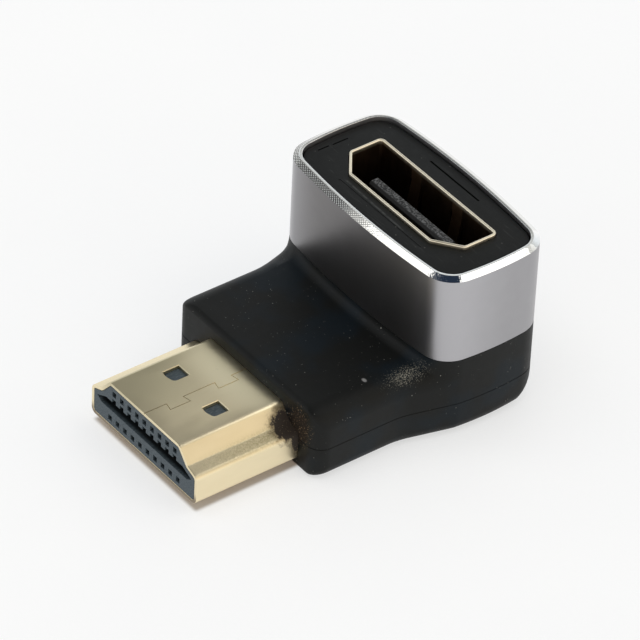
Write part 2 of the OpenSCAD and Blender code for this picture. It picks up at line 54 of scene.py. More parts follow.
rightward = math.cos(roll) * level + math.sin(roll) * steep
upward = math.cos(roll) * steep - math.sin(roll) * level
camera = bpy.data.objects.new("camera", bpy.data.cameras.new("camera"))
camera.data.sensor_width = 36
camera.data.lens = 337.72
camera.data.clip_start, camera.data.clip_end = 0.02, 20
turn = Matrix((rightward, upward, backward)).transposed()
camera.matrix_world = Matrix.Translation(lens_place) @ turn.to_4x4()
bpy.context.scene.collection.objects.link(camera)
bpy.context.scene.camera = camera
bpy.context.scene.view_settings.view_transform = "Standard"

# The table
# A sheet of white film, lit a little from below so that shadows on it stay pale, but not where
# the plug hangs over it: there its glow is dimmed and browned into a painted shadow. It is no
# part of the adapter. A faint mottle keeps it from being flat.


class Signal:
    """A value on its way through a material; arithmetic on it adds the nodes that work it out."""

    def __init__(self, tree, socket):
        self.tree = tree
        self.socket = socket

    def work(self, operation, *terms):
        kind = "Math"
        if any(isinstance(t, tuple) or isinstance(t, Signal) and t.socket.type == "VECTOR" for t in terms):
            kind = "VectorMath"
            terms = [t if isinstance(t, (tuple, Signal)) else (t, t, t) for t in terms]
        return add_node(self.tree, kind, {"operation": operation}, dict(enumerate(terms)))

    def __add__(self, other):
        return self.work("ADD", self, other)

    def __sub__(self, other):
        return self.work("SUBTRACT", self, other)

    def __rsub__(self, other):
        return self.work("SUBTRACT", other, self)

    def __mul__(self, other):
        return self.work("MULTIPLY", self, other)

    def __abs__(self):
        return self.work("ABSOLUTE", self)

    __radd__ = __add__
    __rmul__ = __mul__


def feed(tree, socket, value):
    """Links a Signal to a socket, or sets a plain value on it."""
    if isinstance(value, Signal):
        tree.links.new(value.socket, socket)
    else:
        socket.default_value = (*value, 1) if socket.type == "RGBA" else value


def add_node(tree, kind, settings=None, inputs=None, output=0):
    """Adds one shader node: its settings first, then the values or links of its sockets."""
    made = tree.nodes.new("ShaderNode" + kind)
    for name, value in (settings or {}).items():
        if name == "stops":
            ends = made.color_ramp.elements
            for end, stop in ((ends[0], value[0]), (ends[1], value[-1])):
                end.position, end.color = stop[0], (*stop[1], 1)
            for place, shade in value[1:-1]:
                ends.new(place).color = (*shade, 1)
        else:
            setattr(made, name, value)
    for name, value in (inputs or {}).items():
        feed(tree, made.inputs[name], value)
    return Signal(tree, made.outputs[output])


class Finish:
    """One material: fixed values go straight to its shader, and Signals vary over the surface."""

    def __init__(self, name):
        self.material = bpy.data.materials.new(name)
        self.material.use_nodes = True
        self.tree = self.material.node_tree
        self.shader = self.tree.nodes["Principled BSDF"]
        self.place = self.node("TexCoord", output="Object") * 1000

    def node(self, kind, settings=None, inputs=None, output=0):
        return add_node(self.tree, kind, settings, inputs, output)

    def set(self, values):
        for name, value in values.items():
            feed(self.tree, self.shader.inputs[name], value)

    def noise(self, per_mm, detail=2.0, stretch=(1.0, 1.0, 1.0)):
        """Cloudy values between 0 and 1, with this many clouds to the millimetre."""
        clouds = {"Vector": self.place * stretch, "Scale": per_mm, "Detail": detail}
        return self.node("TexNoise", inputs=clouds)

    def band(self, value, low, high):
        """0 where the value is at low, 1 where it is at high, smooth between."""
        ends = {"Value": value, "From Min": low, "From Max": high}
        return self.node("MapRange", {"interpolation_type": "SMOOTHSTEP"}, ends)

    def axis(self, index):
        """One of the surface point's coordinates in millimetres."""
        return self.node("SeparateXYZ", inputs={0: self.place}, output=index)

    def near(self, spot, stretch, inner, outer):
        """1 within inner of a spot, 0 beyond outer; a stretch over 1 narrows the patch that way."""
        away = (self.place - spot) * stretch
        distance = self.node("VectorMath", {"operation": "LENGTH"}, {0: away}, output="Value")
        return self.band(distance, outer, inner)

    def specks(self, per_mm, size):
        """Round specks of mixed sizes, one to a cell, the largest this far in radius in cells."""
        cell = {"Vector": self.place, "Scale": per_mm}
        draw = self.node("TexVoronoi", inputs=cell, output="Color")
        chance = self.node("SeparateColor", inputs={0: draw})
        radius = self.node("Math", {"operation": "POWER"}, {0: chance, 1: 6.0}) * size
        gap = self.node("TexVoronoi", inputs=cell, output="Distance") - radius
        return self.band(gap, 0.02, -0.02)

    def mix(self, mask, shade, other):
        """The first colour where the mask is 0, and the other where it is 1."""
        return self.node("Mix", {"data_type": "RGBA"}, {0: mask, 6: shade, 7: other}, output=2)

    def relief(self, height, depth):
        """Bumps of this depth in millimetres."""
        self.set({"Normal": self.node("Bump", inputs={"Height": height, "Distance": depth * MM})})


def skin(name, rings, looped=False):
    """A mesh over closed rings of points in millimetres, capped at both ends unless it is looped."""
    n = len(rings[0])
    count = len(rings)
    faces = [
        (k * n + i, k * n + (i + 1) % n, (k + 1) % count * n + (i + 1) % n, (k + 1) % count * n + i)
        for k in range(count if looped else count - 1)
        for i in range(n)
    ]
    if not looped:
        faces += [tuple(range(n))[::-1], tuple(range((count - 1) * n, count * n))]
    mesh = bpy.data.meshes.new(name)
    mesh.from_pydata([Vector(p) * MM for p in chain(*rings)], [], faces)
    piece = bpy.data.objects.new(name, mesh)
    bpy.context.scene.collection.objects.link(piece)
    return piece


def block(name, low, high):
    """A box between two corners."""
    return skin(name, [
        [(low[0], low[1], z), (high[0], low[1], z), (high[0], high[1], z), (low[0], high[1], z)]
        for z in (low[2], high[2])
    ])


paper = Finish("white_paper")
# Painted shadow: under the plug and the front of the elbow the film's glow turns a dim brown.
shade_half_w, shade_half_l, shade_y, shade_edge = 7.0, 11.7, -14, 0.5
painted_plug_shadow = paper.band(abs(paper.axis("X")), shade_half_w, shade_half_w - shade_edge)
painted_plug_shadow = painted_plug_shadow * paper.band(abs(paper.axis("Y") - shade_y), shade_half_l, shade_half_l - shade_edge)
paper.set({
    "Base Color": paper.mix(paper.noise(0.05, 3), (0.40, 0.40, 0.405), (0.43, 0.43, 0.43)),
    "Roughness": 0.75,
    "Specular IOR Level": 0.2,
    "Emission Color": paper.mix(painted_plug_shadow, (0.985, 0.995, 1.0), (0.22, 0.17, 0.13)),
    "Emission Strength": 0.58,
})
paper.relief(paper.noise(6, 4), 0.01)
table = block("table", (-900, -900, -2), (900, 900, 0))
table.data.materials.append(paper.material)

# The light
# A pale room, bright near the table, dim overhead and warm on the right, with soft lamps high on
# the left, on the right and behind, and a wide one overhead that is kept out of the reflections.
room = bpy.data.worlds.new("room")
bpy.context.scene.world = room
room.use_nodes = True
air = room.node_tree
outward = {0: add_node(air, "TexCoord", output="Generated")}
across, height = (add_node(air, "SeparateXYZ", inputs=outward, output=name) for name in "XZ")
dark_ceiling = (0.018, 0.028, 0.050)
cool = add_node(air, "ValToRGB", {"stops": [
    (0.0, (1.0, 1.0, 1.0)),
    (0.4, (0.80, 0.84, 0.88)),
    (0.63, (0.46, 0.465, 0.45)),
    (0.71, (0.17, 0.175, 0.18)),
    (0.88, (0.13, 0.14, 0.16)),
    (0.95, dark_ceiling),
]}, {"Fac": height})
warm = add_node(air, "ValToRGB", {"stops": [
    (0.0, (1.0, 1.0, 1.0)),
    (0.5, (1.0, 0.88, 0.72)),
    (0.75, (0.40, 0.39, 0.36)),
    (0.88, (0.20, 0.20, 0.20)),
    (0.95, dark_ceiling),
]}, {"Fac": height})
side = add_node(air, "MapRange", {"interpolation_type": "SMOOTHSTEP"}, {
    "Value": across, "From Min": 0.1, "From Max": 0.6,
})
glow = add_node(air, "Mix", {"data_type": "RGBA"}, {0: side, 6: cool, 7: warm}, output=2)
walls = air.nodes["Background"].inputs
feed(air, walls["Color"], glow)
feed(air, walls["Strength"], 1.15)


def soft_lamp(name, way, spread, brightness, tint):
    """A square lamp a metre away, this many degrees wide and this many times as bright as white."""
    lamp = bpy.data.lights.new(name, "AREA")
    lamp.size = 2 * math.tan(math.radians(spread / 2))
    lamp.energy = brightness * math.pi * lamp.size ** 2
    lamp.color = tint
    holder = bpy.data.objects.new(name, lamp)
    holder.location = Vector(way).normalized()
    holder.rotation_euler = holder.location.to_track_quat("Z", "Y").to_euler()
    bpy.context.scene.collection.objects.link(holder)
    return holder


soft_lamp("left_lamp", (-0.50, -0.345, 0.79), 13, 1.3, (1.0, 0.98, 0.94))
soft_lamp("right_lamp", (0.34, 0.40, 0.85), 27, 1.3, (1.0, 0.99, 0.96))
soft_lamp("back_lamp", (-0.10, 0.52, 0.83), 44, 0.42, (1.0, 0.98, 0.94))
ceiling = soft_lamp("ceiling", (-0.10, -0.15, 1.0), 40, 1.95, (1.0, 1.0, 1.0))
ceiling.visible_glossy = False

# The circuit board
# A one-millimetre glass-fibre board with green lacquer, which joins the plug's contacts to the
# socket's. It is closed in by the moulding.
lacquer = Finish("green_lacquer")
weave = lacquer.node("TexWave", {"bands_direction": "X"}, {"Vector": lacquer.place, "Scale": 1.4})
weave = weave * lacquer.node("TexWave", {"bands_direction": "Y"}, {"Vector": lacquer.place, "Scale": 1.4})
lacquer.set({
    "Base Color": lacquer.mix(weave, (0.012, 0.10, 0.045), (0.02, 0.15, 0.07)),
    "Roughness": 0.25 + 0.15 * lacquer.noise(2),
})
lacquer.relief(weave, 0.01)


def dress(node, finish):
    """Gives a solid that is shown as it is its finish."""
    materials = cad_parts[node].data.materials
    materials.clear()
    materials.append(finish.material)


dress("circuit_board", lacquer)

# The contacts
# Nineteen bent strips of gold-plated bronze in the plug and nineteen in the socket, each pressed
# into its own channel. Rolling has left faint streaks along the strips, under the gold.
flash_gold = Finish("flash_gold")
drawn = flash_gold.noise(3, 3, (8.0, 0.6, 0.6))
flash_gold.set({
    "Base Color": flash_gold.mix(drawn, (0.55, 0.38, 0.16), (0.80, 0.60, 0.30)),
    "Metallic": 1.0,
    "Roughness": 0.2 + 0.2 * drawn,
})
flash_gold.relief(drawn, 0.004)
for number in range(1, 20):
    dress(f"plug_contact_{number}", flash_gold)
    dress(f"socket_contact_{number}", flash_gold)

# The plug's block
# A dark blue-grey block of glass-filled plastic inside the plug, moulded with the cavity, the
# ribs between the contacts and the small windows in its face. Fibres show as pale flecks, and
# the inside of the cavity is painted near black as shade.
plug_lift, plug_h, plug_tip = 0.75, 4.45, -25.6
plug_top = plug_lift + plug_h
block_plastic = Finish("blue_grey_block")
fibres = block_plastic.noise(9, 4, (1.0, 0.3, 1.0))
fleck = block_plastic.band(fibres, 0.35, 0.75)
# Painted shade: deeper than half a millimetre behind the face and below the top wall the block is painted
# near black.
painted_cavity_shade = block_plastic.band(block_plastic.axis("Y"), plug_tip + 0.1, plug_tip + 0.5)
painted_cavity_shade = painted_cavity_shade * block_plastic.band(block_plastic.axis("Z"), plug_top - 0.6, plug_top - 1.0)
face_shade = block_plastic.mix(fleck, (0.040, 0.056, 0.068), (0.085, 0.110, 0.125))
block_plastic.set({
    "Base Color": block_plastic.mix(painted_cavity_shade, face_shade, (0.008, 0.011, 0.013)),
    "Roughness": 0.45 + 0.2 * block_plastic.noise(5),
    "Specular IOR Level": 0.35,
})
block_plastic.relief(fibres, 0.012)
dress("plug_insulator", block_plastic)

# The plug's shell
# One strip of thin steel folded round the block and locked by a dovetailed seam on its narrow
# side, then gold plated. Four latch windows are punched through it, dirt has caught in the
# corner where it leaves the moulding, and the side wall is darker in a strip beside the moulding.
plug_w, plug_side_h, plug_shoulder_w, plug_shoulder_h, plug_top_w = 13.9, 2.7, 11.5, 3.15, 9.25
plug_sheet, plug_rear = 0.3, -12.9
fold_inside, fold_steps = 0.25, 9


def unit(x, y):
    size = math.hypot(x, y)
    return x / size, y / size


def grown(outline, d):
    """A counter-clockwise outline with each side moved outward by d."""
    wide = []
    for before, (x, y), after in zip(outline[-1:] + outline[:-1], outline, outline[1:] + outline[:1]):
        ax, ay = unit(x - before[0], y - before[1])
        bx, by = unit(after[0] - x, after[1] - y)
        share = d / (1 + ax * bx + ay * by)
        wide.append((x + share * (ay + by), y - share * (ax + bx)))
    return wide


def folded(outline, outer, inner):
    """The outline with its corners rounded: outer for those that stand out, inner for the others."""
    path = []
    for before, (x, y), after in zip(outline[-1:] + outline[:-1], outline, outline[1:] + outline[:1]):
        ax, ay = unit(before[0] - x, before[1] - y)
        bx, by = unit(after[0] - x, after[1] - y)
        half = math.acos(ax * bx + ay * by) / 2
        r = outer if ax * by - ay * bx < 0 else inner
        mx, my = unit(ax + bx, ay + by)
        cx, cy = x + mx * r / math.sin(half), y + my * r / math.sin(half)
        reach = r / math.tan(half)
        for k in range(fold_steps + 1):
            t = k / fold_steps
            ux, uy = unit(x + reach * (ax + (bx - ax) * t) - cx, y + reach * (ay + (by - ay) * t) - cy)
            path.append((cx + r * ux, cy + r * uy))
    return path


def mirrored(right):
    """A closed outline from its right half, which runs upward."""
    return right + [(-x, y) for x, y in reversed(right)]


def quarter_turn(steps):
    """How far a rounding has gone across and along, as shares of its radius."""
    angles = [math.pi / 2 * k / steps for k in range(steps + 1)]
    return [(1 - math.cos(a), 1 - math.sin(a)) for a in angles]


def ribbon(path, width):
    """The outline of a strip of this width along a path."""
    ways = [unit(b[0] - a[0], b[1] - a[1]) for a, b in zip(path, path[1:])]
    sides = []
    for a, b in zip(ways[:1] + ways, ways + ways[-1:]):
        share = width / 2 / (1 + a[0] * b[0] + a[1] * b[1])
        sides.append((-(a[1] + b[1]) * share, (a[0] + b[0]) * share))
    left = [(x - sx, y - sy) for (x, y), (sx, sy) in zip(path, sides)]
    right = [(x + sx, y + sy) for (x, y), (sx, sy) in zip(path, sides)]
    return left + right[::-1]


def face_outward(piece):
    """Turns every face of a closed mesh outward."""
    mesh = bmesh.new()
    mesh.from_mesh(piece.data)
    bmesh.ops.recalc_face_normals(mesh, faces=mesh.faces)
    mesh.to_mesh(piece.data)
    mesh.free()


def carve(piece, *tools):
    """Cuts the tools out of the piece and throws them away."""
    for tool in (piece, *tools):
        face_outward(tool)
    for tool in tools:
        cut = piece.modifiers.new("cut", "BOOLEAN")
        cut.operation, cut.solver, cut.object = "DIFFERENCE", "EXACT", tool
    whole = piece.evaluated_get(bpy.context.evaluated_depsgraph_get())
    before, piece.data = piece.data, bpy.data.meshes.new_from_object(whole)
    piece.modifiers.clear()
    bpy.data.meshes.remove(before)
    for tool in tools:
        bpy.data.objects.remove(tool)


def finish_piece(piece, sharp_degrees, finishes, node):
    """Smooth shading up to an angle, the finishes, and the piece's place in the frame."""
    piece.data.shade_smooth()
    piece.data.set_sharp_from_angle(angle=math.radians(sharp_degrees))
    for finish in finishes:
        piece.data.materials.append(finish.material)
    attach(piece, "root")
    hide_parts(node)


plug_outline = mirrored([
    (plug_w / 2, 0),
    (plug_w / 2, plug_side_h),
    (plug_shoulder_w / 2, plug_shoulder_h),
    (plug_top_w / 2, plug_h),
])


def plug_ring(d, y):
    """The plug's section at y, moved outward by d."""
    outline = folded(grown(plug_outline, d), fold_inside + plug_sheet + d, fold_inside - d)
    return [(x, y, plug_lift + z) for x, z in outline]


rim_r = 0.07
rim = [(-rim_r * across, plug_tip + rim_r * along) for across, along in quarter_turn(3)]
wall = rim + [(-plug_sheet - d, y) for d, y in reversed(rim)] + [(-plug_sheet, plug_rear), (0, plug_rear)]
plug_shell = skin("folded_plug_shell", [plug_ring(d, y) for d, y in wall], looped=True)

window_x, window_w, window_l, window_y = 2.6, 1.4, 1.5, plug_tip + 4.15
window_r, window_belly, punch_r = 0.35, 0.1, 0.05


def window_cut(middle_x):
    """A punch for both walls, rounded at its near corner and flared where it leaves the sheet."""
    corner_x, corner_y = window_w / 2 - window_r, window_y + window_r
    outline = [(-window_w / 2, window_y + window_l), (-window_w / 2, window_y)]
    for k in range(1, 9):
        t = k / 8
        outline.append((
            -window_w / 2 + (window_w - window_r) * t, window_y - window_belly * math.sin(math.pi * t),
        ))
    for k in range(1, 7):
        angle = math.pi / 2 * k / 6
        outline.append((corner_x + window_r * math.sin(angle), corner_y - window_r * math.cos(angle)))
    outline.append((window_w / 2, window_y + window_l))
    levels = [(0, plug_lift - 1), (0, plug_top - punch_r), (punch_r, plug_top), (punch_r, plug_top + 1)]
    return skin("window_cut", [[(middle_x + x, y, z) for x, y in grown(outline, d)] for d, z in levels])


seam_gap, seam_depth = 0.05, 0.09
seam_reach, seam_lean, seam_tab, seam_starts = 0.75, 0.15, 1.6, (2.1, 6.7)
seam_line = [(0, plug_tip - 1)]
for start in (plug_tip + s for s in seam_starts):
    seam_line += [
        (0, start),
        (seam_reach, start - seam_lean),
        (seam_reach, start + seam_tab + seam_lean),
        (0, start + seam_tab),
    ]
seam_line += [(0, plug_rear + 1)]
seam_cut = skin("seam_cut", [
    [(x, y, z) for x, y in ribbon(seam_line, seam_gap)] for z in (plug_top - seam_depth, plug_top + 1)
])
carve(plug_shell, seam_cut, window_cut(-window_x), window_cut(window_x))

gold = Finish("satin_gold")
rolled = gold.noise(1.2, 4, (1.0, 0.25, 1.0))
clumps = gold.noise(1.6, 5)
dirt_corner = gold.near((6.1, -15.9, 4.0), (1.0, 0.72, 0.8), 0.4, 2.3)
# Darker in a strip down the side wall next to the moulding's face, mixed in with the corner's dirt.
dark_strip_by_moulding = gold.near((6.95, -16.0, 2.5), (1.0, 1.7, 0.7), 0.1, 1.1)
soil = dirt_corner + dark_strip_by_moulding + 0.9 * clumps + 0.35 * gold.noise(9, 4)
stain = gold.band(soil, 0.80, 1.20)
dirt = gold.band(soil, 1.12, 1.28) * (1 - 0.7 * gold.band(gold.noise(9, 2), 0.66, 0.72))
cut_edge = gold.band(gold.axis("Y"), plug_tip + 0.03, plug_tip + 0.01)
cut_edge = cut_edge * gold.band(gold.axis("Z"), 2.0, 1.1)
film = gold.near((6.25, -19.8, 3.76), (1.2, 0.12, 1.2), 0.2, 1.3)
film = film * gold.band(gold.noise(7, 3), 0.05, 0.85)
film = film * (0.55 + 0.45 * gold.band(gold.axis("Y"), -25, -18.5))
dull = gold.near((-4.5, -23.5, 5.2), (0.14, 0.16, 0.6), 0.2, 1.2)
rubbed = gold.near((0, -16.6, 5.3), (0.15, 0.30, 1.5), 0.3, 1.2)
plated = gold.mix(rolled, (0.80, 0.69, 0.46), (0.88, 0.77, 0.53))
plated = gold.mix(0.95 * dull, plated, (0.58, 0.515, 0.34))
plated = gold.mix(rubbed, plated, (1.0, 0.90, 0.63))
clean = gold.mix(cut_edge, plated, (0.26, 0.21, 0.15))
filmed = gold.mix(0.8 * film, clean, (0.40, 0.33, 0.15))
stained = gold.mix(0.7 * stain, filmed, (0.20, 0.145, 0.075))
gold.set({
    "Base Color": gold.mix(dirt, stained, (0.022, 0.015, 0.010)),
    "Metallic": 1 - dirt,
    "Roughness": 0.27 + 0.14 * rolled + 0.15 * film + 0.4 * dirt,
})
gold.relief(gold.noise(14, 3, (1.0, 0.2, 1.0)) + 6 * dirt * clumps, 0.004)
finish_piece(plug_shell, 30, [gold], "plug_shell")

# The socket's block and tongue
# A floor of dark plastic with two pegs into the board, and the tongue pressed through it, with a
# groove for each contact. Dust lies on the tongue's tip.
tongue_y = 0.02
tongue_plastic = Finish("dusty_tongue")
on_tip = tongue_plastic.band(abs(tongue_plastic.axis("Y") - tongue_y), 0.44, 0.32)
dust = tongue_plastic.band(tongue_plastic.noise(7, 4), 0.42, 0.62) * on_tip
tongue_plastic.set({
    "Base Color": tongue_plastic.mix(dust, (0.018, 0.019, 0.020), (0.15, 0.155, 0.16)),
    "Roughness": 0.5 + 0.3 * dust,
    "Specular IOR Level": 0.3,
})
tongue_plastic.relief(dust, 0.02)
dress("socket_tongue", tongue_plastic)
dress("socket_insulator", tongue_plastic)

# The socket's shell
# A thin plated strip folded into the six-sided mouth, with two latch springs cut free in each
# long wall and four legs soldered to the board. Below its rim the plating is painted dark as shade
# inside the mouth, with painted light on the springs.
socket_w, socket_h, socket_narrow_w, socket_end_h, socket_sheet = 14.9, 5.05, 10.25, 3.25, 0.25
rim_z, mouth_drop = 15.45, 0.05
mouth_z = rim_z - mouth_drop
shell_foot_z, leg_end_z, leg_w, leg_pitch = 3.775, 1.875, 0.8, 1.6
spring_w, spring_l, spring_start, spring_throw, spring_slot = 1.2, 4.0, 1.25, 0.4, 0.2

socket_outline = mirrored([
    (socket_narrow_w / 2, -socket_h / 2),
    (socket_w / 2, socket_h / 2 - socket_end_h),
    (socket_w / 2, socket_h / 2),
])


def socket_ring(d, z):
    """The socket's section at z, moved outward by d."""
    outline = folded(grown(socket_outline, d), fold_inside + socket_sheet + d, fold_inside)
    return [(x, y, z) for x, y in outline]


mouth_r = 0.12
mouth_rim = [(-mouth_r * across, mouth_z - mouth_r * down) for across, down in quarter_turn(3)]
socket_wall = [(0, shell_foot_z)] + mouth_rim
socket_wall += [(-socket_sheet - d, z) for d, z in reversed(mouth_rim)] + [(-socket_sheet, shell_foot_z)]
socket_shell = skin("folded_socket_shell", [socket_ring(d, z) for d, z in socket_wall], looped=True)
spring_places = [(x, side) for x in (-window_x, window_x) for side in (-1, 1)]
wall_y = (socket_h - socket_sheet) / 2
spring_top = mouth_z - spring_start
carve(socket_shell, *[
    block(
        "spring_cut",
        (x - spring_w / 2 - spring_slot, side * wall_y - 1, spring_top - spring_l),
        (x + spring_w / 2 + spring_slot, side * wall_y + 1, spring_top - 0.01),
    )
    for x, side in spring_places
])
spring_line = [
    (0, 0),
    (0, -0.3),
    (-spring_throw, -0.6 * spring_l),
    (-spring_throw, -0.7 * spring_l),
    (0, spring_slot - spring_l),
]
spring_edge = ribbon(spring_line, socket_sheet)
strips = [
    skin("spring", [
        [(x + across, side * (wall_y + out), spring_top + up) for out, up in spring_edge]
        for across in (-spring_w / 2, spring_w / 2)
    ])
    for x, side in spring_places
]
leg_x, leg_y = (socket_w - socket_sheet) / 2, (socket_h - socket_end_h) / 2
strips += [
    block(
        "leg",
        (x - socket_sheet / 2, y - leg_w / 2, leg_end_z),
        (x + socket_sheet / 2, y + leg_w / 2, shell_foot_z + 0.01),
    )
    for x in (-leg_x, leg_x)
    for y in (leg_y - leg_pitch / 2, leg_y + leg_pitch / 2)
]


def join(piece, parts):
    """Makes the parts one object with the piece."""
    whole = bmesh.new()
    for part in [piece, *parts]:
        whole.from_mesh(part.data)
    bmesh.ops.recalc_face_normals(whole, faces=whole.faces)
    whole.to_mesh(piece.data)
    whole.free()
    for part in parts:
        bpy.data.objects.remove(part)


join(socket_shell, strips)
pale_gold = Finish("pale_plating")
plating = pale_gold.noise(2, 4, (1.0, 1.0, 0.3))
bright = pale_gold.mix(plating, (0.90, 0.82, 0.64), (1.0, 0.92, 0.74))
# Painted shade: below the rim the inside of the mouth is painted dark.
depth = pale_gold.band(pale_gold.axis("Z"), mouth_z - 0.1, mouth_z - 0.5)
from_spring = abs(abs(pale_gold.axis("X")) - window_x)
# Painted light: the springs are painted lighter than the shaded walls round them.
painted_spring_light = pale_gold.band(from_spring, spring_w / 2 + 0.08, spring_w / 2 - 0.02)
painted_mouth_shade = pale_gold.mix(plating, (0.08, 0.052, 0.032), (0.17, 0.115, 0.075))
painted_mouth_shade = pale_gold.mix(painted_spring_light, painted_mouth_shade, (0.30, 0.195, 0.12))
pale_gold.set({
    "Base Color": pale_gold.mix(depth, bright, painted_mouth_shade),
    "Metallic": 1.0,
    "Roughness": 0.26 + 0.16 * plating,
})
pale_gold.relief(plating, 0.003)
finish_piece(socket_shell, 30, [pale_gold], "socket_shell")

# The elbow
# Soft black plastic moulded in one shot over the plug's root, the board and the socket's foot.
# It is slim round the plug and flares out to the sleeve, and a parting line runs round it. White
# dust is caught by the sleeve's corner, and brown dirt beside the plug.
sleeve_w, sleeve_d, side_bow, end_bow, corner_r, sleeve_back = 21.55, 11.45, 0.73, 0.58, 2.6, 0.15
sleeve_wall, sleeve_gap = 0.72, 0.1
seat_z, neck_z, top_z, front_y, body_w = 7.35, 8.95, 6.5, -15.9, 18.7
front_r, flat_r, flare, flare_r = 1.4, 0.5, math.radians(15), 8
front_edge, top_edge, foot_edge, back_in, back_up, fillet = 0.5, 1.8, 1.15, 2.3, 2.75, 0.8
plug_mid, board_t = plug_lift + plug_h / 2, 1.0
side_r = ((sleeve_w / 2) ** 2 + side_bow ** 2) / (2 * side_bow)
end_r = ((sleeve_d / 2) ** 2 + end_bow ** 2) / (2 * end_bow)
side_c, end_c = (0, sleeve_d / 2 - side_r), (sleeve_w / 2 - end_r, 0)


def meeting(c1, r1, c2, r2):
    """Where two circles meet, on the right of the line between their centres."""
    d = math.dist(c1, c2)
    ux, uy = (c2[0] - c1[0]) / d, (c2[1] - c1[1]) / d
    along = (r1 * r1 - r2 * r2 + d * d) / (2 * d)
    across = math.sqrt(r1 * r1 - along * along)
    return c1[0] + along * ux + across * uy, c1[1] + along * uy - across * ux


def bearing(start, end):
    return math.atan2(end[1] - start[1], end[0] - start[0])


def arc(centre, r, start, end, steps):
    return [
        (centre[0] + r * math.cos(a), centre[1] + r * math.sin(a))
        for a in (start + (end - start) * k / steps for k in range(steps + 1))
    ]


def closed(half):
    """A ring from its right half, which runs from the front's middle to the back's."""
    return half + [(-x, y) for x, y in half[-2:0:-1]]


corner_c = meeting(side_c, side_r - corner_r, end_c, end_r - corner_r)
end_angle, side_angle = bearing(end_c, corner_c), bearing(side_c, corner_c)
near_c, far_c = (corner_c[0], sleeve_back - corner_c[1]), (corner_c[0], sleeve_back + corner_c[1])
front_c, back_c = (0, sleeve_back - side_c[1]), (0, sleeve_back + side_c[1])
ends_c = (end_c[0], sleeve_back)
flare_end = (near_c[0] + corner_r * math.cos(flare), near_c[1] - corner_r * math.sin(flare))
bend_y = flare_end[1] - (flare_end[0] - body_w / 2) / math.tan(flare)
bend_start = bend_y - flare_r * math.tan(flare / 2)
corner_steps = 16
corner_angles = [side_angle + (flare - side_angle) * k / corner_steps for k in range(1, corner_steps)]


def front_half(half_w, y, r):
    """A straight front from its middle outward, and the rounded corner at its end."""
    straight = [((half_w - r) * k / 16, y) for k in range(16)]
    return straight + arc((half_w - r, y + r), r, -math.pi / 2, 0, 14)


def shared_half(inset):
    """The ends and the back, where the elbow is flush with the sleeve."""
    half = arc(near_c, corner_r - inset, -flare, -end_angle, 4)
    half += arc(ends_c, end_r - inset, -end_angle, end_angle, 14)[1:]
    half += arc(far_c, corner_r - inset, end_angle, side_angle, 20)[1:]
    return half + arc(back_c, side_r - inset, side_angle, math.pi / 2, 16)[1:]


body_half = front_half(body_w / 2, front_y, front_r)
flank_y = front_y + front_r
body_half += [(body_w / 2, flank_y + (bend_start - flank_y) * k / 8) for k in range(1, 8)]
body_half += arc((body_w / 2 + flare_r, bend_start), flare_r, math.pi, math.pi - flare, 10)
for angle in corner_angles:
    along = corner_r * math.sin(angle - flare)
    body_half.append((flare_end[0] - along * math.sin(flare), flare_end[1] - along * math.cos(flare)))
seat_steps = len(body_half) - corner_steps


def seat_outline(inset):
    """The sleeve's outline moved inward, with as many points as the elbow's."""
    half = arc(front_c, side_r - inset, -math.pi / 2, -side_angle, seat_steps)
    half += [
        (near_c[0] + (corner_r - inset) * math.cos(a), near_c[1] - (corner_r - inset) * math.sin(a))
        for a in corner_angles
    ]
    return closed(half + shared_half(inset))


body_ring, seat_ring = closed(body_half + shared_half(0)), seat_outline(0)
facing = []
for before, after in zip(body_ring[-1:] + body_ring[:-1], body_ring[1:] + body_ring[:1]):
    tx, ty = unit(after[0] - before[0], after[1] - before[1])
    facing.append((ty, -tx))
space = [min(1, math.dist(p, q) / (top_edge + fillet)) for p, q in zip(body_ring, seat_ring)]
flat_half = front_half(body_w / 2 - top_edge, front_y + front_edge, flat_r)
for (x, y), (nx, ny), share in list(zip(body_ring, facing, space))[len(flat_half):len(body_ring) // 2 + 1]:
    flat_half.append((x - nx * top_edge * share, y - ny * front_edge * share))
flat_ring = closed(flat_half)


def blend(a, b, t):
    return tuple(p + (q - p) * t for p, q in zip(a, b))


def toward(n, front, side, back):
    """A rounding's size where the outline faces n."""
    return side + (front - side) * n[1] ** 2 if n[1] < 0 else side + (back - side) * n[1]


def foot_ring(across, up):
    ring = []
    for (x, y), n in zip(body_ring, facing):
        along = front_edge if n[1] < 0 else back_in
        z = up * toward(n, front_edge, foot_edge, back_up)
        ring.append((x - n[0] * foot_edge * across, y - n[1] * along * across, z))
    return ring


def side_ring(inset, z):
    return [(x - nx * inset, y - ny * inset, z) for (x, y), (nx, ny) in zip(body_ring, facing)]


def shoulder_ring(across, down, t):
    """One ring of the rounding over the top; t is its share of the way up a plain wall."""
    ring = []
    for p, flat, n, share in zip(body_ring, flat_ring, facing, space):
        wall_z = top_z - top_edge + (seat_z - top_z + top_edge) * t
        z = top_z - toward(n, front_edge, top_edge, top_edge) * down
        ring.append((*blend(p, flat, across), wall_z + (z - wall_z) * share))
    return ring


def fillet_ring(up, across, t):
    """One ring of the hollow that rises from the flat top to the sleeve's foot."""
    ring = []
    for flat, seat, share in zip(flat_ring, seat_ring, space):
        wall_z = top_z - top_edge + (seat_z - top_z + top_edge) * t
        z = top_z + (seat_z - top_z) * up
        room_left = math.dist(flat, seat)
        reach = fillet * share * across / room_left if room_left > 0 else 0
        ring.append((*blend(seat, flat, reach), wall_z + (z - wall_z) * share))
    return ring


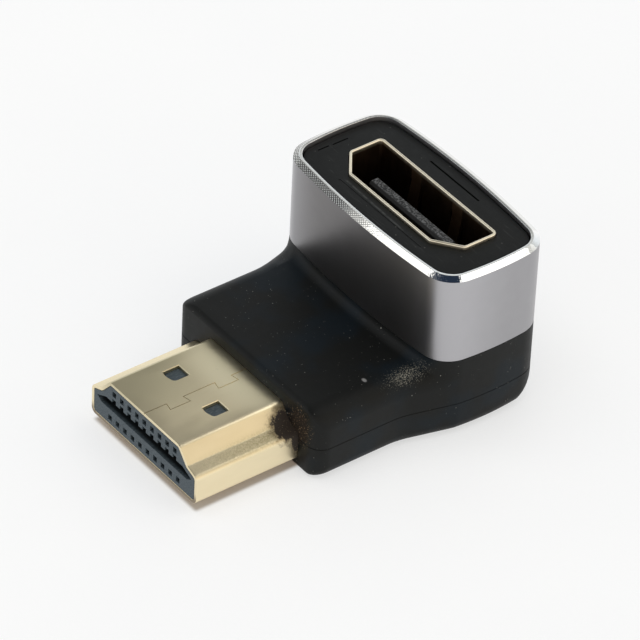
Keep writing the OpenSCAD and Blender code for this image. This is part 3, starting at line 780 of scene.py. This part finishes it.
shoulder_steps, fillet_steps = 10, 10
top_steps = shoulder_steps + fillet_steps + 1
parting_in, parting_half, parting_edge, parting_reach = 0.05, 0.015, 0.06, 0.11
parting = [(0, -parting_reach), (0, -parting_edge), (parting_in, -parting_half)]
parting += [(inset, -up) for inset, up in reversed(parting)]
shoulder = [
    shoulder_ring(across, down, k / top_steps)
    for k, (across, down) in enumerate(quarter_turn(shoulder_steps))
]
hollow = [
    fillet_ring(up, across, (k + shoulder_steps + 1) / top_steps)
    for k, (up, across) in enumerate(quarter_turn(fillet_steps))
]
flat = [[blend(p, q, t) for p, q in zip(shoulder[-1], hollow[0])] for t in (0.04, 0.5, 0.96)]
elbow = skin("moulded_elbow", [
    *(foot_ring(across, up) for up, across in quarter_turn(10)),
    *(side_ring(inset, plug_mid + up) for inset, up in parting),
    *shoulder, *flat, *hollow,
    [(x, y, seat_z) for x, y in seat_outline(sleeve_wall + sleeve_gap)],
    [(x, y, neck_z) for x, y in seat_outline(sleeve_wall + sleeve_gap)],
])
moulded_gap = 0.05
tab_half, neck_half, board_half = 5.65, 6.7, 8.3
tab_y, neck_y, board_y, board_back = -14.0, -12.6, -4.125, 4.6
pins_below, solder_above = 0.75, 0.45
board_room = grown(mirrored([
    (tab_half, tab_y),
    (tab_half, neck_y),
    (neck_half, neck_y),
    (neck_half, board_y),
    (board_half, board_y),
    (board_half, board_back),
]), moulded_gap)
board_levels = (plug_mid - board_t / 2 - pins_below, plug_mid + board_t / 2 + solder_above)
carve(
    elbow,
    skin("plug_room", [plug_ring(moulded_gap, y) for y in (front_y - 1, plug_rear + moulded_gap)]),
    skin("board_room", [[(x, y, z) for x, y in board_room] for z in board_levels]),
    skin("socket_room", [socket_ring(moulded_gap, z) for z in (plug_mid + board_t / 2, neck_z + 1)]),
)

moulding = Finish("black_moulding")
matt = moulding.noise(1.5, 4)
# Painted reflection: large cloudy patches of the black moulding are tinted blue as a painted sheen.
painted_blue_sheen = moulding.band(moulding.noise(0.22, 2), 0.45, 0.65)
black_with_painted_sheen = moulding.mix(painted_blue_sheen, (0.0052, 0.0058, 0.0054), (0.0042, 0.0078, 0.0110))
settled = moulding.band(moulding.noise(0.35, 3), 0.40, 0.62)
lint = (0.8 * moulding.specks(2.2, 0.12) + 0.4 * moulding.specks(5.5, 0.24)) * settled
crumb = moulding.near((7.5, -10.1, 6.5), (0.7, 1.0, 1.0), 0.10, 0.22)
streak = moulding.near((8.7, -7.0, 6.4), (0.8, 0.38, 1.0), 0.1, 1.4)
powder = 0.8 * streak * moulding.band(moulding.noise(12, 3) + 0.18 * streak, 0.66, 0.76)
front_dirt = moulding.near((7.0, -15.9, 4.2), (1.0, 0.8, 0.8), 0.3, 2.3)
caked = moulding.band(front_dirt + 0.7 * moulding.noise(2.2, 5), 0.75, 1.15)
grit = moulding.band(front_dirt, 0.1, 0.6) * moulding.band(moulding.noise(8, 3), 0.60, 0.68)
brown = moulding.mix(0.8 * caked, black_with_painted_sheen, (0.020, 0.013, 0.008))
soiled = moulding.mix(grit, brown, (0.22, 0.15, 0.09))
dusty = moulding.mix(crumb, moulding.mix(powder, soiled, (0.26, 0.25, 0.21)), (0.20, 0.20, 0.20))
moulding.set({
    "Base Color": moulding.mix(lint, dusty, (0.34, 0.34, 0.31)),
    "Roughness": 0.44 + 0.12 * matt + 0.25 * caked,
    "Specular IOR Level": 0.18,
})
moulding.relief(moulding.noise(12, 3) + 3 * lint + 3 * powder + 4 * caked * moulding.noise(4, 3), 0.006)
finish_piece(elbow, 35, [moulding], "body_overmould")

# The insert
# A black plastic plate that fills the sleeve round the mouth, a little below the rim. A thin slot
# lies behind the mouth and a scored line in front of it, and the face is scuffed, nicked at its
# left end and dusty.
face_z, face_r = rim_z - 0.35, 0.12
insert_wall = [(0, neck_z)]
insert_wall += [(face_r * across, face_z - face_r * down) for across, down in quarter_turn(4)]
insert = skin("mouth_plate", [
    [(x, y, z) for x, y in seat_outline(sleeve_wall + sleeve_gap + inset)] for inset, z in insert_wall
])
face_cuts = [
    ("slot_cut", -3.1, 3.1, 3.92, 4.08, 0.4),
    ("line_cut", -5.2, 5.2, -3.48, -3.32, 0.03),
    ("nick", -9.2, -9.08, -2.5, -1.45, 0.1),
    ("nick", -9.15, -9.02, -1.1, 0.4, 0.1),
]
carve(
    insert,
    skin("mouth_hole", [socket_ring(moulded_gap, z) for z in (neck_z - 1, rim_z + 1)]),
    *(
        block(name, (left, front, face_z - cut_depth), (right, back, face_z + 1))
        for name, left, right, front, back, cut_depth in face_cuts
    ),
)
plate = Finish("black_plate")
cloud = plate.noise(2, 4)
scuff = plate.band(plate.noise(3, 6, (0.15, 3.0, 1.0)), 0.62, 0.72)
plate_lint = plate.specks(2.4, 0.12)
# Painted highlight: a pale broken line just behind the scored line, where its edge would catch the light.
highlight_x, highlight_y, highlight_slope = -1.1, -3.127, -0.025
off_line = abs(plate.axis("Y") - highlight_slope * plate.axis("X") - highlight_y)
painted_edge_highlight = plate.band(off_line, 0.12, 0.04) * plate.band(abs(plate.axis("X") - highlight_x), 4.1, 3.4)
painted_edge_highlight = painted_edge_highlight * plate.band(plate.noise(3, 4), 0.30, 0.60)
scuffs_and_painted_highlight = plate.mix(0.3 * scuff + 0.7 * painted_edge_highlight, (0.0050, 0.0056, 0.0054), (0.055, 0.058, 0.056))
plate.set({
    "Base Color": plate.mix(plate_lint, scuffs_and_painted_highlight, (0.16, 0.16, 0.15)),
    "Roughness": 0.42 + 0.14 * cloud,
    "Specular IOR Level": 0.22,
})
plate.relief(plate.noise(10, 3) + 2 * plate_lint, 0.006)
finish_piece(insert, 30, [plate], "socket_insert")

# The sleeve
# A drawn aluminium sleeve, blasted and dyed grey, with its wide faces painted darker as shade and
# its ends painted paler toward the front as light. After dyeing, a facet and the rim were cut
# bright, and the facet keeps the cutter's marks, dark with grime at its left end. It stands on the elbow's
# seat.
bevel_in, bevel_down, edge_r, bright_rows = 0.5, 0.3, 0.05, 4
sleeve_profile = [(edge_r * across, seat_z + edge_r * up) for up, across in quarter_turn(3)]
facet_start = len(sleeve_profile)
sleeve_profile += [(0, rim_z - bevel_down), (bevel_in, rim_z)]
sleeve_profile += [
    (sleeve_wall - edge_r * down, rim_z - edge_r * across) for across, down in quarter_turn(3)
]
sleeve_profile += [(sleeve_wall, seat_z)]
sleeve = skin("dyed_sleeve", [
    [(x, y, z) for x, y in seat_outline(inset)] for inset, z in sleeve_profile
], looped=True)
face_outward(sleeve)
for face in sleeve.data.polygons:
    row = face.index // len(seat_ring) - facet_start
    face.material_index = int(0 <= row < bright_rows)

dye_and_painted_shade = Finish("grey_dye_painted_shade")
blast = dye_and_painted_shade.noise(18, 2)
# Painted shade: the wide faces are painted much darker than the ends.
painted_shade_on_wide_faces = dye_and_painted_shade.band(abs(dye_and_painted_shade.axis("Y") - sleeve_back), 4.9, 5.62)
# Painted light: the ends are painted paler toward the front, with some random cloudiness.
painted_light_toward_front = dye_and_painted_shade.band(dye_and_painted_shade.axis("Y"), 2.5, -5.0) + 0.3 * dye_and_painted_shade.noise(0.8, 3)
end_colour_painted_paler = dye_and_painted_shade.mix(painted_light_toward_front, (0.345, 0.340, 0.352), (0.455, 0.450, 0.468))
painted_dark_face_colour = dye_and_painted_shade.mix(dye_and_painted_shade.noise(0.8, 3), (0.170, 0.163, 0.164), (0.190, 0.183, 0.183))
dye_and_painted_shade.set({
    "Base Color": dye_and_painted_shade.mix(painted_shade_on_wide_faces, end_colour_painted_paler, painted_dark_face_colour),
    "Metallic": 1.0,
    "Roughness": 0.34 + 0.08 * blast,
})
dye_and_painted_shade.relief(blast, 0.003)
facet = Finish("bright_facet")
diagonal = {"bands_direction": "DIAGONAL"}
marks = [
    facet.node("TexWave", diagonal, {"Vector": facet.place * (slant, 1, 1), "Scale": 2.3})
    for slant in (-1, 1)
]
chatter = facet.band(facet.axis("X"), 1.5, -3.5) * facet.band(facet.axis("Y"), 0, -4)
chatter = chatter * facet.band(facet.axis("Z"), rim_z - 0.01, rim_z - 0.05)
burnt = facet.band(facet.axis("X"), -1, -6) * facet.band(facet.axis("X"), -9.2, -8.2)
grime = chatter * facet.band(marks[0] * marks[1] - 0.3 * burnt * facet.noise(1.5, 3), 0.45, 0.10)
nicked = facet.near((9.2, -4.9, rim_z - 0.15), (1.0, 1.0, 1.0), 0.6, 1.5)
metal = facet.mix(facet.noise(4, 3), (0.80, 0.80, 0.78), (0.88, 0.88, 0.86))
facet.set({
    "Base Color": facet.mix(0.9 * grime, metal, (0.07, 0.065, 0.055)),
    "Metallic": 1.0,
    "Roughness": 0.05 + 0.05 * facet.noise(9),
})
ridges = (0.12 + chatter) * (marks[0] + marks[1])
facet.relief(ridges + (0.5 + 2.5 * nicked) * facet.noise(4, 2), 0.010)
finish_piece(sleeve, 20, [dye_and_painted_shade, facet], "socket_sleeve")
